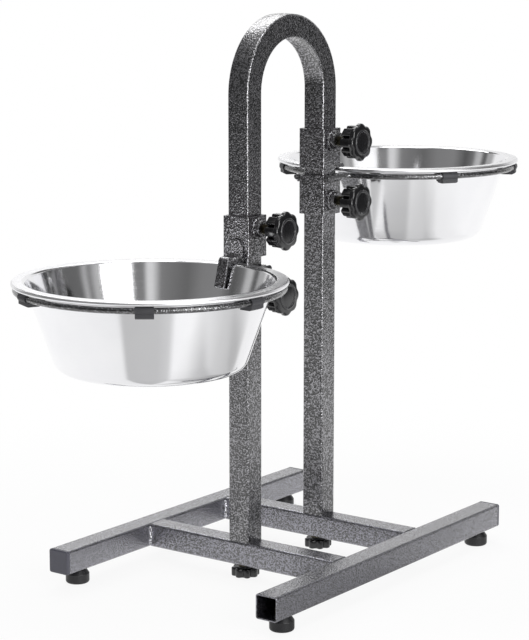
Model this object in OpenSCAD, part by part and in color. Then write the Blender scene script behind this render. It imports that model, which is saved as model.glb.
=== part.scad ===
// Height-adjustable stand for two feeding bowls.
// A welded base of square tube carries one bent tube, and clamped collars on its posts hold the bowls.
// X runs across the base, Y along its legs and Z up. The origin is on the floor, midway between the posts.

/* [Base] */
// Outside width of the square base tube
base_tube = 25; // [20:0.5:32]
// Wall of the base tube
base_wall = 1.5; // [1:0.1:2.5]
// Outside corner radius of the base tube
base_corner = 2.5; // [1:0.1:4]
// Length of each leg tube
leg_length = 414; // [340:1:520]
// Distance between the centre lines of the legs
leg_spacing = 260; // [200:1:320]
// Distance from the end of a leg to the middle of its foot
foot_inset = 25.5; // [20:0.5:60]
// Length of a weld bead's side on each tube
weld_size = 4; // [2:0.5:6]
// Thickness of an end plug's head
plug_head = 4; // [2:0.5:6]
// Depth of an end plug inside its tube
plug_depth = 9; // [5:1:10]

/* [Feet] */
// Height of the base above the floor
foot_height = 15.5; // [14:0.5:24]
// Diameter of a foot's pad
foot_d = 24.5; // [20:0.5:32]
// Diameter of a foot's neck where it meets the leg
foot_neck_d = 17; // [12:0.5:19]
// Height of the straight side of a foot's pad
foot_band = 10; // [6:0.5:12]
// Radius of the lower edge of a foot's pad
foot_edge = 2.5; // [1:0.5:4]
// Thickness of the pad under the foot's stud
foot_sole = 4; // [2:0.5:6]
// Diameter of a foot's stud
foot_stud_d = 8; // [6:1:10]
// Distance across the flats of a leg nut
leg_nut_flats = 13; // [12:0.5:17]
// Height of a leg nut
leg_nut_h = 6.5; // [4:0.5:8]
// Length of stud that stands out above a leg nut
foot_stud_spare = 3; // [1:0.5:6]

/* [Hoop] */
// Outside width of the square post tube
post_tube = 25; // [20:0.5:32]
// Wall of the post tube
post_wall = 1.5; // [1:0.1:2.5]
// Outside corner radius of the post tube
post_corner = 2.5; // [1:0.1:4]
// Distance between the centre lines of the posts
post_spacing = 132; // [110:1:180]
// Height of the top of the hoop above the floor
hoop_height = 578; // [540:1:700]
// Thinning of the tube at the top of the bend, where its inner side is crushed
bend_crush = 3.5; // [0.5:0.5:6]
// Height of the threaded block in the lower end of a post
insert_h = 10; // [6:0.5:16]

/* [Base screws] */
// Diameter of a base screw
base_screw_d = 8; // [6:1:10]
// Diameter of a base screw's washer
washer_d = 18; // [14:0.5:22]
// Thickness of a base screw's washer
washer_t = 1.5; // [1:0.1:2]
// Diameter of a base knob
base_knob_d = 30; // [26:1:36]
// Height of a base knob's head
base_knob_h = 9; // [6:0.5:9.5]
// Diameter of a base knob's hub
base_hub_d = 17; // [14:0.5:20]
// Height of a base knob's hub
base_hub_h = 2.5; // [1:0.1:3]
// Depth of a base screw inside its knob
base_screw_grip = 7; // [4:0.5:9]
// Radius of the hollows between a base knob's lobes
base_flute_r = 3.3; // [2.5:0.1:4]
// Depth of the hollows between a base knob's lobes
base_flute_depth = 3; // [2:0.1:3.5]
// Radius of a base knob's lower edge
base_knob_edge = 2.5; // [1.5:0.1:3]

/* [Collars] */
// Wall of a collar
collar_wall = 2.5; // [2:0.1:4]
// Running gap between a collar and its post, on each side
collar_gap = 1; // [0.5:0.1:1.5]
// Height of a collar
collar_height = 42; // [36:1:60]
// Outside corner radius of a collar
collar_corner = 2; // [1:0.1:3]
// Height of the front lower collar's top above the floor
front_collar_top = 328; // [260:1:400]
// Height of the rear lower collar's top above the floor
rear_collar_top = 409.5; // [260:0.5:420]
// Height of the clamp screw above the bottom of a lower collar
lower_clamp_z = 15; // [12:0.5:22]
// Height of the clamp screw above the bottom of an upper collar
upper_clamp_z = 29.5; // [22:0.5:30]

/* [Rings] */
// Diameter of the ring's wire
rod_d = 6; // [4:0.5:8]
// Distance from the edge of the bowl's rim in to the middle of the wire
ring_inset = 4.5; // [3:0.5:6]
// Radius of the bends at the ends of the ring, on the middle of the wire
ring_bend = 10; // [7:0.5:14]
// Length of the weld along each end of the ring
ring_weld_length = 28; // [16:1:30]
// Height of the weld on the collar
ring_weld_h = 7.8; // [5:0.1:10]
// Wall of a ring clip
clip_wall = 1.1; // [0.8:0.1:1.6]
// Length of a ring clip along the wire
clip_length = 17; // [10:0.5:24]
// Drop of a ring clip's tail below its barrel
clip_drop = 3.5; // [2:0.5:6]
// Thickness of a ring clip's tail
clip_tail = 3; // [2:0.5:4]
// Opening of a ring clip
clip_mouth = 4.2; // [3:0.1:5]
// Direction of a ring clip's opening, up from straight out
clip_mouth_angle = 150; // [120:1:170]
// Places of the front clips, turned from the front towards the right
front_clip_angles = [-140, -83, -26, 37, 88, 140]; // [-165:1:165]
// Places of the rear clips, turned from the front towards the right
rear_clip_angles = [-150, -96, -42, 58, 114, 165]; // [-165:1:165]

/* [Retainers] */
// Thickness of the strip that a retainer is bent from
strip_t = 3; // [2:0.1:4]
// Width of the strip where it is welded to its collar
strip_w = 21; // [16:0.5:28]
// Height of the strip on its collar
strip_h = 20; // [16:0.5:26]
// Width of the tongue inside the bowl
tongue_w = 12; // [8:0.5:16]
// Length of the tongue, measured down from the strip
tongue_length = 28; // [20:0.5:40]
// Gap between the tongue and the wall of the bowl
tongue_gap = 2; // [1:0.1:4]
// Radius of the strip's bends, on its middle
strip_bend = 3.5; // [2.5:0.1:5]
// Height of the front strip above the rim
front_lift = 4; // [0.5:0.1:12]
// Height of the rear strip above the rim
rear_lift = 0.8; // [0.5:0.1:12]

/* [Clamps] */
// Diameter of a clamp stud
stud_d = 10; // [8:1:12]
// Distance across the flats of a weld nut
nut_flats = 17; // [15:0.5:19]
// Height of a weld nut
nut_h = 8; // [5:0.5:10]
// Diameter of a pressure pad
pad_d = 9; // [6:0.5:10]
// Thickness of a pressure pad
pad_t = 2.5; // [1.5:0.1:3]
// Distance from the collar to the back of a clamp knob
knob_stand = 24; // [18:0.5:30]
// Diameter of a clamp knob
knob_d = 40; // [32:1:44]
// Length of a clamp knob
knob_h = 14; // [10:0.5:20]
// Radius of the hollows between a clamp knob's lobes
knob_flute_r = 4.4; // [3:0.1:6]
// Depth of the hollows between a clamp knob's lobes
knob_flute_depth = 4; // [2:0.1:4.5]
// Radius of a clamp knob's front edge
knob_edge = 4; // [2:0.1:4.5]
// Radius of the back edge of both kinds of knob
knob_back_edge = 1; // [0.5:0.1:2]
// Draft of a knob's side, from its face to its back
knob_draft = 1.2; // [0.4:0.1:2]
// Diameter of a clamp knob's hub
hub_d = 18; // [15:0.5:22]
// Length of a clamp knob's hub
hub_h = 4; // [2:0.5:6]
// Depth of the stud inside its knob
stud_grip = 8; // [5:0.5:9]
// Diameter of a knob's cap
cap_d = 27; // [20:0.5:28]
// Thickness of a knob's cap
cap_h = 3; // [2:0.1:4]
// Height of the cap above the face of its knob
cap_raise = 1; // [0.5:0.1:1.5]
// Width of the raised ring on a knob's cap
cap_ring_w = 2.7; // [1.5:0.1:4]
// Depth of the cap's face inside its raised ring
cap_dish = 0.5; // [0.3:0.1:0.8]
// Number of lobes on a knob
knob_lobes = 8; // [6:1:10]

/* [Bowls] */
// Diameter over the rim
rim_d = 266; // [220:1:280]
// Width of the flat rim
flange_w = 12.5; // [10:0.5:16]
// Diameter of the rolled edge
roll_d = 4.4; // [3:0.1:5]
// Depth of the bowl
bowl_depth = 88; // [60:1:110]
// Diameter of the bottom, on the line of the wall
bowl_bottom_d = 180; // [150:1:200]
// Wall of the bowl
bowl_wall = 0.9; // [0.6:0.1:1.5]
// Radius of the bottom corner
bowl_corner = 14; // [8:0.5:20]
// Radius of the bend from the wall to the rim
flange_bend = 2.5; // [1.5:0.1:4]
// Gap between the rim and the collars
rim_gap = 2; // [1:0.5:6]

/* [Clearances] */
// Gap between a screw and its thread
thread_gap = 0.08; // [0.02:0.01:0.1]
// Gap between a screw and a plain hole
hole_gap = 0.4; // [0.2:0.1:0.8]
// Gap between a piece and the pocket it is fixed in
fit_gap = 0.05; // [0.02:0.01:0.1]
// Gap between faces that press together at rest
rest_gap = 0.1; // [0.05:0.05:0.3]
// Gap between a bowl and the clips that it rests on
seat_gap = 0.3; // [0.1:0.1:0.5]

/* [Hidden] */
$fn = 64;
FRONT = -1;
REAR = 1;
LEFT = -1;
RIGHT = 1;
LOWER = 0;
UPPER = 1;

paint = "#4b4b4e";
dark_paint = "#38383a";
polished = "#d6d8da";
zinc = "#b7aa86";
black_plastic = "#1a1a1c";
grey_plastic = "#3f3f42";
nylon = "#e6e4dc";

// Base heights
base_z = foot_height + base_tube / 2;
base_top = foot_height + base_tube;
bar_length = leg_spacing - base_tube;
foot_y = leg_length / 2 - foot_inset;

// Hoop
post_y = post_spacing / 2;
bend_z = hoop_height - post_spacing / 2 - post_tube / 2;
bend_inner_r = post_spacing / 2 - post_tube / 2;

// Collars and bowls
collar_inner = post_tube + 2 * collar_gap;
collar_size = collar_inner + 2 * collar_wall;
rim_r = rim_d / 2;
bowl_offset = collar_size / 2 + rim_gap + rim_r;
ring_r = rim_r - ring_inset;
clip_r = rod_d / 2 + fit_gap + clip_wall;
wall_top_r = rim_r - flange_w;
wall_taper = (wall_top_r - bowl_bottom_d / 2) / bowl_depth;
wall_cos = cos(atan(wall_taper));
roll_to_rod = roll_d / 2 + clip_r + seat_gap;
rim_above_rod = sqrt(pow(roll_to_rod, 2) - pow(ring_inset - roll_d / 2, 2)) + roll_d / 2;
rim_above_collar = rim_above_rod - rod_d / 2;

function collar_top(side) = side == FRONT ? front_collar_top : rear_collar_top;
function rim_z(side) = collar_top(side) + rim_above_collar;
function rod_z(side) = collar_top(side) - rod_d / 2;
function upper_bottom(side) = rim_z(side) + (side == FRONT ? front_lift : rear_lift);
function clamp_z(side, level) = level == UPPER
    ? upper_bottom(side) + upper_clamp_z
    : collar_top(side) - collar_height + lower_clamp_z;

// Radius of the middle of the bowl's wall, at a depth below the rim
function wall_r(depth) = wall_top_r - wall_taper * depth;

function unit(v) = v / norm(v);

// Points of the arc that rounds the corner b between a and c
function corner_arc(a, b, c, r, steps) =
    let (
        u = unit(a - b),
        v = unit(c - b),
        half = acos(u * v) / 2,
        middle = b + unit(u + v) * r / sin(half),
        first = b + u * r / tan(half) - middle,
        last = b + v * r / tan(half) - middle,
        start = atan2(first.y, first.x),
        turn = atan2(first.x * last.y - first.y * last.x, first * last)
    )
    [for (i = [0 : steps]) middle + r * [cos(start + turn * i / steps), sin(start + turn * i / steps)]];

// A line through the points, with its inner corners rounded to the given radii
function rounded_path(points, radii, steps = 8) = concat(
    [points[0]],
    [for (i = [1 : len(points) - 2])
        each corner_arc(points[i - 1], points[i], points[i + 1], radii[i - 1], steps)],
    [points[len(points) - 1]]);

function left_of(a, b) = unit([a.y - b.y, b.x - a.x]);

// A line at a distance to the left of another
function side_path(path, d) = [for (i = [0 : len(path) - 1])
    let (
        before = left_of(path[max(i - 1, 0)], path[max(i, 1)]),
        after = left_of(path[min(i, len(path) - 2)], path[min(i + 1, len(path) - 1)]),
        middle = unit(before + after)
    )
    path[i] + middle * d / (middle * before)];

function reversed(list) = [for (i = [len(list) - 1 : -1 : 0]) list[i]];

// The outline of a sheet of thickness t that follows a line
module sheet_outline(path, t) {
    polygon(concat(side_path(path, t / 2), reversed(side_path(path, -t / 2))));
}

module rounded_square(w, r) {
    square([w - 2 * r, w], center = true);
    square([w, w - 2 * r], center = true);
    for (x = [-1, 1], y = [-1, 1])
        translate([x, y] * (w / 2 - r)) circle(r);
}

module tube_section(w, wall, corner) {
    difference() {
        rounded_square(w, corner);
        rounded_square(w - 2 * wall, max(corner - wall, corner / 4));
    }
}

module hex_nut(flats, h, bore) {
    difference() {
        cylinder(d = flats / cos(30), h = h, $fn = 6);
        translate([0, 0, -h]) cylinder(d = bore, h = 3 * h);
    }
}

// Turns the axis of a piece from Z to X
module along_x() {
    rotate([0, 90, 0]) children();
}

// A lobed knob on the Z axis, with its hub below zero and its face at height h
module star_knob(d, h, edge, flute_r, flute_depth, hub, hub_length, bore, bore_depth) {
    profile = rounded_path(
        [[0, 0], [d / 2 - knob_draft, 0], [d / 2, h], [0, h]],
        [knob_back_edge, edge]);
    difference() {
        union() {
            rotate_extrude() polygon(profile);
            translate([0, 0, -hub_length]) cylinder(d = hub, h = hub_length + h / 2);
        }
        for (i = [0 : knob_lobes - 1])
            rotate([0, 0, (i + 0.5) * 360 / knob_lobes])
                translate([d / 2 + flute_r - flute_depth, 0, -h]) cylinder(r = flute_r, h = 3 * h);
        translate([0, 0, -hub_length - h]) cylinder(d = bore, h = hub_length + h + bore_depth);
    }
}

// Base

module leg(side) {
    color(paint) difference() {
        translate([side * leg_spacing / 2, 0, base_z])
            rotate([90, 0, 0])
                linear_extrude(leg_length, center = true) tube_section(base_tube, base_wall, base_corner);
        for (y = [-foot_y, foot_y])
            translate([side * leg_spacing / 2, y, foot_height - base_wall])
                cylinder(d = foot_stud_d + 2 * hole_gap, h = 3 * base_wall);
    }
}

module crossbar(side) {
    color(paint) difference() {
        translate([0, side * post_y, base_z])
            rotate([90, 0, 90])
                linear_extrude(bar_length, center = true) tube_section(base_tube, base_wall, base_corner);
        translate([0, side * post_y, foot_height - base_wall])
            cylinder(d = base_screw_d + 2 * hole_gap, h = base_tube + 2 * base_wall);
    }
}

module weld_beads() {
    bead_length = base_tube - 2 * base_corner;
    crown = weld_size * 0.62;
    color(paint)
        for (x = [-1, 1], bar = [FRONT, REAR], y = [-1, 1])
            translate([x * bar_length / 2, bar * post_y + y * base_tube / 2, base_z])
                mirror([x > 0 ? 1 : 0, 0, 0])
                    mirror([0, y < 0 ? 1 : 0, 0])
                        linear_extrude(bead_length, center = true)
                            polygon([[0, 0], [weld_size, 0], [crown, crown], [0, weld_size]]);
}

module end_plugs() {
    color(black_plastic)
        for (end = [[LEFT, FRONT], [LEFT, REAR], [RIGHT, REAR]])
            translate([end[0] * leg_spacing / 2, end[1] * leg_length / 2, base_z])
                rotate([-90 * end[1], 0, 0]) {
                    linear_extrude(plug_head) rounded_square(base_tube, base_corner);
                    translate([0, 0, -plug_depth])
                        linear_extrude(plug_depth)
                            rounded_square(base_tube - 2 * base_wall - 2 * fit_gap, base_corner);
                }
}

module at_foot(x, y) {
    translate([x * leg_spacing / 2, y * foot_y, 0]) children();
}

module leg_nuts() {
    color(zinc)
        for (x = [LEFT, RIGHT], y = [FRONT, REAR])
            at_foot(x, y)
                translate([0, 0, foot_height + base_wall])
                    hex_nut(leg_nut_flats, leg_nut_h, foot_stud_d + 2 * thread_gap);
}

module foot_stud(x, y) {
    top = foot_height + base_wall + leg_nut_h + foot_stud_spare;
    color(zinc) at_foot(x, y)
        translate([0, 0, foot_sole + rest_gap])
            cylinder(d = foot_stud_d, h = top - foot_sole - rest_gap);
}

module foot_pad(x, y) {
    pad_top = foot_height - rest_gap;
    profile = rounded_path(
        [[0, 0], [foot_d / 2, 0], [foot_d / 2, foot_band], [foot_neck_d / 2, pad_top], [0, pad_top]],
        [foot_edge, foot_edge / 2, foot_edge / 8]);
    color(black_plastic) at_foot(x, y) difference() {
        rotate_extrude() polygon(profile);
        translate([0, 0, foot_sole]) cylinder(d = foot_stud_d + 2 * thread_gap, h = foot_height);
    }
}

// Hoop

module hoop() {
    color(dark_paint) difference() {
        union() {
            for (y = [-post_y, post_y])
                translate([0, y, base_top])
                    linear_extrude(bend_z - base_top) rounded_square(post_tube, post_corner);
            translate([0, 0, bend_z])
                rotate([90, 0, 90])
                    rotate_extrude(angle = 180)
                        translate([post_y, 0]) rounded_square(post_tube, post_corner);
        }
        for (y = [-post_y, post_y])
            translate([0, y, base_top - post_wall])
                linear_extrude(bend_z - base_top + post_wall)
                    square(post_tube - 2 * post_wall, center = true);
        translate([0, 0, bend_z])
            rotate([90, 0, 90])
                rotate_extrude(angle = 180)
                    translate([post_y + bend_crush / 2, 0])
                        square(
                            [post_tube - bend_crush - 2 * post_wall, post_tube - 2 * post_wall],
                            center = true);
        translate([0, 0, bend_z + bend_crush])
            along_x() cylinder(r = bend_inner_r, h = 2 * post_tube, center = true);
    }
}

module post_inserts() {
    color(zinc)
        for (y = [-post_y, post_y])
            translate([0, y, base_top]) difference() {
                linear_extrude(insert_h) square(post_tube - 2 * post_wall - 2 * fit_gap, center = true);
                translate([0, 0, -insert_h]) cylinder(d = base_screw_d + 2 * thread_gap, h = 3 * insert_h);
            }
}

// Base screws

washer_top = foot_height - rest_gap;
base_hub_top = washer_top - washer_t;

module base_washer(side) {
    color(zinc) translate([0, side * post_y, washer_top - washer_t]) difference() {
        cylinder(d = washer_d, h = washer_t);
        translate([0, 0, -washer_t]) cylinder(d = base_screw_d + 2 * hole_gap, h = 3 * washer_t);
    }
}

module base_knob(side) {
    color(black_plastic) translate([0, side * post_y, base_hub_top - base_hub_h])
        rotate([180, 0, 0])
            star_knob(
                base_knob_d, base_knob_h, base_knob_edge, base_flute_r, base_flute_depth,
                base_hub_d, base_hub_h, base_screw_d + 2 * fit_gap, base_screw_grip);
}

module base_screw(side) {
    low = base_hub_top - base_hub_h - base_screw_grip + fit_gap;
    color(zinc) translate([0, side * post_y, low])
        cylinder(d = base_screw_d, h = base_top + insert_h - low);
}

// Holders: each is drawn round its post with the bowl on the front side, and mirrored for the rear post

module at_holder(side) {
    translate([0, side * post_y, 0]) mirror([0, side == REAR ? 1 : 0, 0]) children();
}

module collar(side, level) {
    bottom = level == UPPER ? upper_bottom(side) : collar_top(side) - collar_height;
    color(dark_paint) at_holder(side) difference() {
        translate([0, 0, bottom])
            linear_extrude(collar_height)
                tube_section(collar_size, collar_wall, collar_corner);
        translate([0, 0, clamp_z(side, level)])
            along_x() cylinder(d = stud_d + 2 * hole_gap, h = collar_size);
    }
}

// The bends are drawn a hair thicker than the wire, and the wire runs a short lap into them
bend_d = rod_d + 2 * fit_gap;
bend_lap = rod_d / 20;
tail_x = collar_size / 2 + bend_d / 2 + fit_gap;
// How far below the wire's middle its weld reaches round it
weld_reach = 0.45 * rod_d;
ring_corner_x = tail_x + ring_bend;
ring_corner_y = sqrt(pow(ring_r + ring_bend, 2) - pow(ring_corner_x, 2)) - bowl_offset;
ring_open = asin(ring_corner_x / (ring_r + ring_bend));

module ring(side) {
    arc_open = ring_open - bend_lap / ring_r * 180 / PI;
    color(dark_paint) at_holder(side) translate([0, 0, rod_z(side)]) {
        translate([0, -bowl_offset, 0])
            rotate([0, 0, 90 + arc_open])
                rotate_extrude(angle = 360 - 2 * arc_open)
                    translate([ring_r, 0]) circle(d = rod_d);
        for (x = [0, 1])
            mirror([x, 0, 0]) {
                translate([ring_corner_x, ring_corner_y, 0])
                    rotate([0, 0, 180])
                        rotate_extrude(angle = 90 - ring_open)
                            translate([ring_bend, 0]) circle(d = bend_d);
                translate([tail_x, ring_corner_y - bend_lap, 0])
                    rotate([-90, 0, 0])
                        cylinder(d = rod_d, h = collar_size / 2 - ring_corner_y + bend_lap);
            }
    }
}

module ring_welds(side) {
    color(dark_paint) at_holder(side) translate([0, 0, rod_z(side)])
        for (x = [0, 1])
            mirror([x, 0, 0]) difference() {
                translate([collar_size / 2, collar_size / 2, 0])
                    rotate([90, 0, 0])
                        linear_extrude(ring_weld_length)
                            polygon([[0, 0], [0, -ring_weld_h], [tail_x - collar_size / 2, -weld_reach]]);
                translate([tail_x, -collar_size, 0])
                    rotate([-90, 0, 0]) cylinder(d = rod_d + 2 * fit_gap, h = 2 * collar_size);
            }
}

module clip_profile() {
    tail_low = -clip_r - clip_drop;
    tail_depth = rim_above_rod - tail_low - clip_tail;
    tail_r = wall_r(tail_depth) + bowl_wall / 2 / wall_cos + seat_gap;
    web = 0.7 * clip_r;
    difference() {
        union() {
            translate([ring_r, 0]) circle(clip_r);
            polygon([
                [ring_r + web, -web],
                [ring_r + web, tail_low + clip_tail / 2],
                [ring_r, tail_low],
                [tail_r, tail_low],
                [tail_r, tail_low + clip_tail],
                [ring_r - web, -web]
            ]);
        }
        translate([ring_r, 0]) circle(d = rod_d + 2 * fit_gap);
        translate([ring_r, 0])
            rotate(clip_mouth_angle)
                translate([0, -clip_mouth / 2]) square([2 * clip_r, clip_mouth]);
    }
}

module ring_clips(side) {
    sweep = clip_length / ring_r * 180 / PI;
    angles = side == FRONT ? front_clip_angles : rear_clip_angles;
    color(grey_plastic)
        translate([0, side * (post_y + bowl_offset), rod_z(side)])
            for (a = angles)
                rotate([0, 0, a - 90 - sweep / 2]) rotate_extrude(angle = sweep) clip_profile();
}

module tongue(side) {
    bottom = upper_bottom(side);
    strip_z = bottom + strip_t / 2;
    wall_gap = (bowl_wall / 2 + tongue_gap + strip_t / 2) / wall_cos;
    // Places in the side view are distances from the post towards the bowl, and heights
    plate_u = collar_size / 2 + strip_t / 2;
    bend_u = bowl_offset + wall_gap - wall_r(rim_z(side) - strip_z);
    end_u = bend_u + wall_taper * tongue_length;
    path = rounded_path(
        [[plate_u, bottom + strip_h], [plate_u, strip_z], [bend_u, strip_z],
            [end_u, strip_z - tongue_length]],
        [strip_bend, strip_bend]);
    taper_end = bend_u - strip_bend;
    color(dark_paint) at_holder(side) intersection() {
        rotate([90, 0, -90])
            linear_extrude(2 * strip_w, center = true) sheet_outline(path, strip_t);
        union() {
            // Front view: a plate with a round top
            rotate([90, 0, 0]) linear_extrude(plate_u + strip_t) {
                translate([0, bottom + strip_h - strip_w / 2]) circle(d = strip_w);
                translate([-strip_w / 2, bottom]) square([strip_w, strip_h - strip_w / 2]);
            }
            // View from above: a taper to the tongue's width
            translate([0, 0, strip_z - 2 * tongue_length])
                linear_extrude(2 * tongue_length + strip_t)
                    polygon([
                        [-strip_w / 2, -plate_u],
                        [-tongue_w / 2, -taper_end],
                        [-tongue_w / 2, -end_u - strip_w],
                        [tongue_w / 2, -end_u - strip_w],
                        [tongue_w / 2, -taper_end],
                        [strip_w / 2, -plate_u]
                    ]);
        }
    }
}

// Clamps, drawn along X from the middle of the post

module at_clamp(side, level, x) {
    at_holder(side) translate([x, 0, clamp_z(side, level)]) along_x() children();
}

pad_x = post_tube / 2 + rest_gap;
knob_x = collar_size / 2 + knob_stand;

module weld_nut(side, level) {
    color(zinc) at_clamp(side, level, collar_size / 2)
        hex_nut(nut_flats, nut_h, stud_d + 2 * thread_gap);
}

module clamp_pad(side, level) {
    color(nylon) at_clamp(side, level, pad_x) cylinder(d = pad_d, h = pad_t);
}

module clamp_stud(side, level) {
    color(zinc) at_clamp(side, level, pad_x + pad_t)
        cylinder(d = stud_d, h = knob_x + stud_grip - fit_gap - pad_x - pad_t);
}

module clamp_knob(side, level) {
    recess = cap_h - cap_raise;
    color(black_plastic) at_clamp(side, level, knob_x) difference() {
        star_knob(
            knob_d, knob_h, knob_edge, knob_flute_r, knob_flute_depth,
            hub_d, hub_h, stud_d + 2 * fit_gap, stud_grip);
        translate([0, 0, knob_h - recess]) cylinder(d = cap_d + 2 * fit_gap, h = knob_h);
    }
}

module knob_cap(side, level) {
    ring_in = cap_d / 2 - cap_ring_w;
    edge = 0.6 * cap_raise;
    profile = rounded_path(
        [[0, 0], [cap_d / 2, 0], [cap_d / 2, cap_h], [ring_in, cap_h],
            [ring_in - cap_dish, cap_h - cap_dish], [0, cap_h - cap_dish]],
        [edge / 4, edge, edge / 3, edge / 3], 4);
    color(black_plastic) at_clamp(side, level, knob_x + knob_h - cap_h + cap_raise)
        rotate_extrude() polygon(profile);
}

// Bowls

module bowl(side) {
    middle = bowl_wall / 2;
    path = rounded_path(
        [[0, middle - bowl_depth], [wall_r(bowl_depth - middle), middle - bowl_depth],
            [wall_r(middle), -middle], [rim_r - roll_d / 2, -middle]],
        [bowl_corner, flange_bend], 12);
    color(polished) at_holder(side) translate([0, -bowl_offset, rim_z(side)]) {
        rotate_extrude() sheet_outline(path, bowl_wall);
        rotate_extrude() translate([rim_r - roll_d / 2, -roll_d / 2]) circle(d = roll_d);
    }
}

leg(LEFT);  // left_leg
leg(RIGHT);  // right_leg
crossbar(FRONT);  // front_crossbar
crossbar(REAR);  // rear_crossbar
weld_beads();
end_plugs();
leg_nuts();
foot_stud(LEFT, FRONT);  // front_left_foot_stud
foot_stud(RIGHT, FRONT);  // front_right_foot_stud
foot_stud(LEFT, REAR);  // rear_left_foot_stud
foot_stud(RIGHT, REAR);  // rear_right_foot_stud
foot_pad(LEFT, FRONT);  // front_left_foot_pad
foot_pad(RIGHT, FRONT);  // front_right_foot_pad
foot_pad(LEFT, REAR);  // rear_left_foot_pad
foot_pad(RIGHT, REAR);  // rear_right_foot_pad
hoop();
post_inserts();
base_washer(FRONT);  // front_base_washer
base_knob(FRONT);  // front_base_knob
base_screw(FRONT);  // front_base_screw
base_washer(REAR);  // rear_base_washer
base_knob(REAR);  // rear_base_knob
base_screw(REAR);  // rear_base_screw
collar(FRONT, LOWER);  // front_lower_collar
ring(FRONT);  // front_ring
ring_welds(FRONT);  // front_ring_welds
ring_clips(FRONT);  // front_ring_clips
collar(FRONT, UPPER);  // front_upper_collar
tongue(FRONT);  // front_tongue
bowl(FRONT);  // front_bowl
weld_nut(FRONT, LOWER);  // front_lower_nut
clamp_pad(FRONT, LOWER);  // front_lower_pad
clamp_stud(FRONT, LOWER);  // front_lower_stud
clamp_knob(FRONT, LOWER);  // front_lower_knob
knob_cap(FRONT, LOWER);  // front_lower_cap
weld_nut(FRONT, UPPER);  // front_upper_nut
clamp_pad(FRONT, UPPER);  // front_upper_pad
clamp_stud(FRONT, UPPER);  // front_upper_stud
clamp_knob(FRONT, UPPER);  // front_upper_knob
knob_cap(FRONT, UPPER);  // front_upper_cap
collar(REAR, LOWER);  // rear_lower_collar
ring(REAR);  // rear_ring
ring_welds(REAR);  // rear_ring_welds
ring_clips(REAR);  // rear_ring_clips
collar(REAR, UPPER);  // rear_upper_collar
tongue(REAR);  // rear_tongue
bowl(REAR);  // rear_bowl
weld_nut(REAR, LOWER);  // rear_lower_nut
clamp_pad(REAR, LOWER);  // rear_lower_pad
clamp_stud(REAR, LOWER);  // rear_lower_stud
clamp_knob(REAR, LOWER);  // rear_lower_knob
knob_cap(REAR, LOWER);  // rear_lower_cap
weld_nut(REAR, UPPER);  // rear_upper_nut
clamp_pad(REAR, UPPER);  // rear_upper_pad
clamp_stud(REAR, UPPER);  // rear_upper_stud
clamp_knob(REAR, UPPER);  // rear_upper_knob
knob_cap(REAR, UPPER);  // rear_upper_cap
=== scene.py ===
"""Looks of the feeder stand: finishes, worked shapes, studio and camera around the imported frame."""

import logging
import math
from dataclasses import dataclass
from enum import Enum
from functools import partial
from typing import Any, Callable, Iterable, Optional, Sequence, Union

import bmesh
import bpy
from bmesh.types import BMEdge, BMFace, BMVert
from bpy.types import NodeSocket, NodeTree
from mathutils import Matrix, Vector


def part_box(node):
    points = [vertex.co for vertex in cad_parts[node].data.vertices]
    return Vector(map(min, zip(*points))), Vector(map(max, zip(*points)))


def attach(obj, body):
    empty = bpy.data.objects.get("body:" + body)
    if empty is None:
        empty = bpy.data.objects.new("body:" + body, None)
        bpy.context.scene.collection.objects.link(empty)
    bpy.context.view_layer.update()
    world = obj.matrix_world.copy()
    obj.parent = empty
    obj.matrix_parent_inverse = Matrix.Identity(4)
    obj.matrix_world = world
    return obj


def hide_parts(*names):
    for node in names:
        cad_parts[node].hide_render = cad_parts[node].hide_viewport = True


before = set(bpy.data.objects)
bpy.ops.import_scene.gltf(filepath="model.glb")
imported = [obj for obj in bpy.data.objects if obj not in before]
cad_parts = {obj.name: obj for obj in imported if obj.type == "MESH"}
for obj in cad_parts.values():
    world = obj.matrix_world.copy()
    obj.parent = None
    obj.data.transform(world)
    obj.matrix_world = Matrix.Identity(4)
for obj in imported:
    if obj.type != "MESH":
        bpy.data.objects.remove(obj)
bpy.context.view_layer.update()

LOG = logging.getLogger("feeder_stand")
MM = 0.001
FULL_TURN = 2 * math.pi
MERGE_MM = 0.002
STUD_PLAY_MM = 0.15
SHARP_ANGLE = math.radians(38)
Z_TO_X = Matrix.Rotation(math.pi / 2, 4, "Y")
Adder = Callable[..., NodeSocket]


class End(Enum):
    """The two ends of the stand, each with a post, a holder and a bowl."""

    FRONT = "front"
    REAR = "rear"

    @property
    def way(self) -> int:
        """The sign of Y on this end."""
        return -1 if self is End.FRONT else 1

    @property
    def facing(self) -> Matrix:
        """Turns a shape drawn with its bowl towards -Y to face this end."""
        return Matrix.Rotation(0 if self is End.FRONT else math.pi, 4, "Z")


class Side(Enum):
    """The two legs of the base."""

    LEFT = "left"
    RIGHT = "right"


class Level(Enum):
    """The two collars on a post."""

    LOWER = "lower"
    UPPER = "upper"


@dataclass(frozen=True)
class Extent:
    """The box of a CAD node at rest, in millimetres."""

    low: Vector
    high: Vector

    @classmethod
    def of(cls, node: str) -> "Extent":
        """Measures a CAD node."""
        low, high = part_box(node)
        return cls(low / MM, high / MM)

    @property
    def middle(self) -> Vector:
        """The centre of the box."""
        return (self.low + self.high) / 2

    @property
    def size(self) -> Vector:
        """The three sides of the box."""
        return self.high - self.low

    @property
    def foot(self) -> Vector:
        """The centre of its lower side."""
        return Vector((self.middle.x, self.middle.y, self.low.z))


def at(*place: float) -> Matrix:
    """A move to a place."""
    return Matrix.Translation(place)


def colour(code: str) -> tuple[float, float, float, float]:
    """Turns an sRGB hex value into linear red, green and blue, with a full alpha.

    Args:
        code: The colour as "#rrggbb".

    Returns:
        Four numbers from 0 to 1.
    """
    parts = [int(code[i:i + 2], 16) / 255 for i in (1, 3, 5)]
    red, green, blue = (p / 12.92 if p <= 0.04045 else ((p + 0.055) / 1.055) ** 2.4 for p in parts)
    return red, green, blue, 1.0


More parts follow.
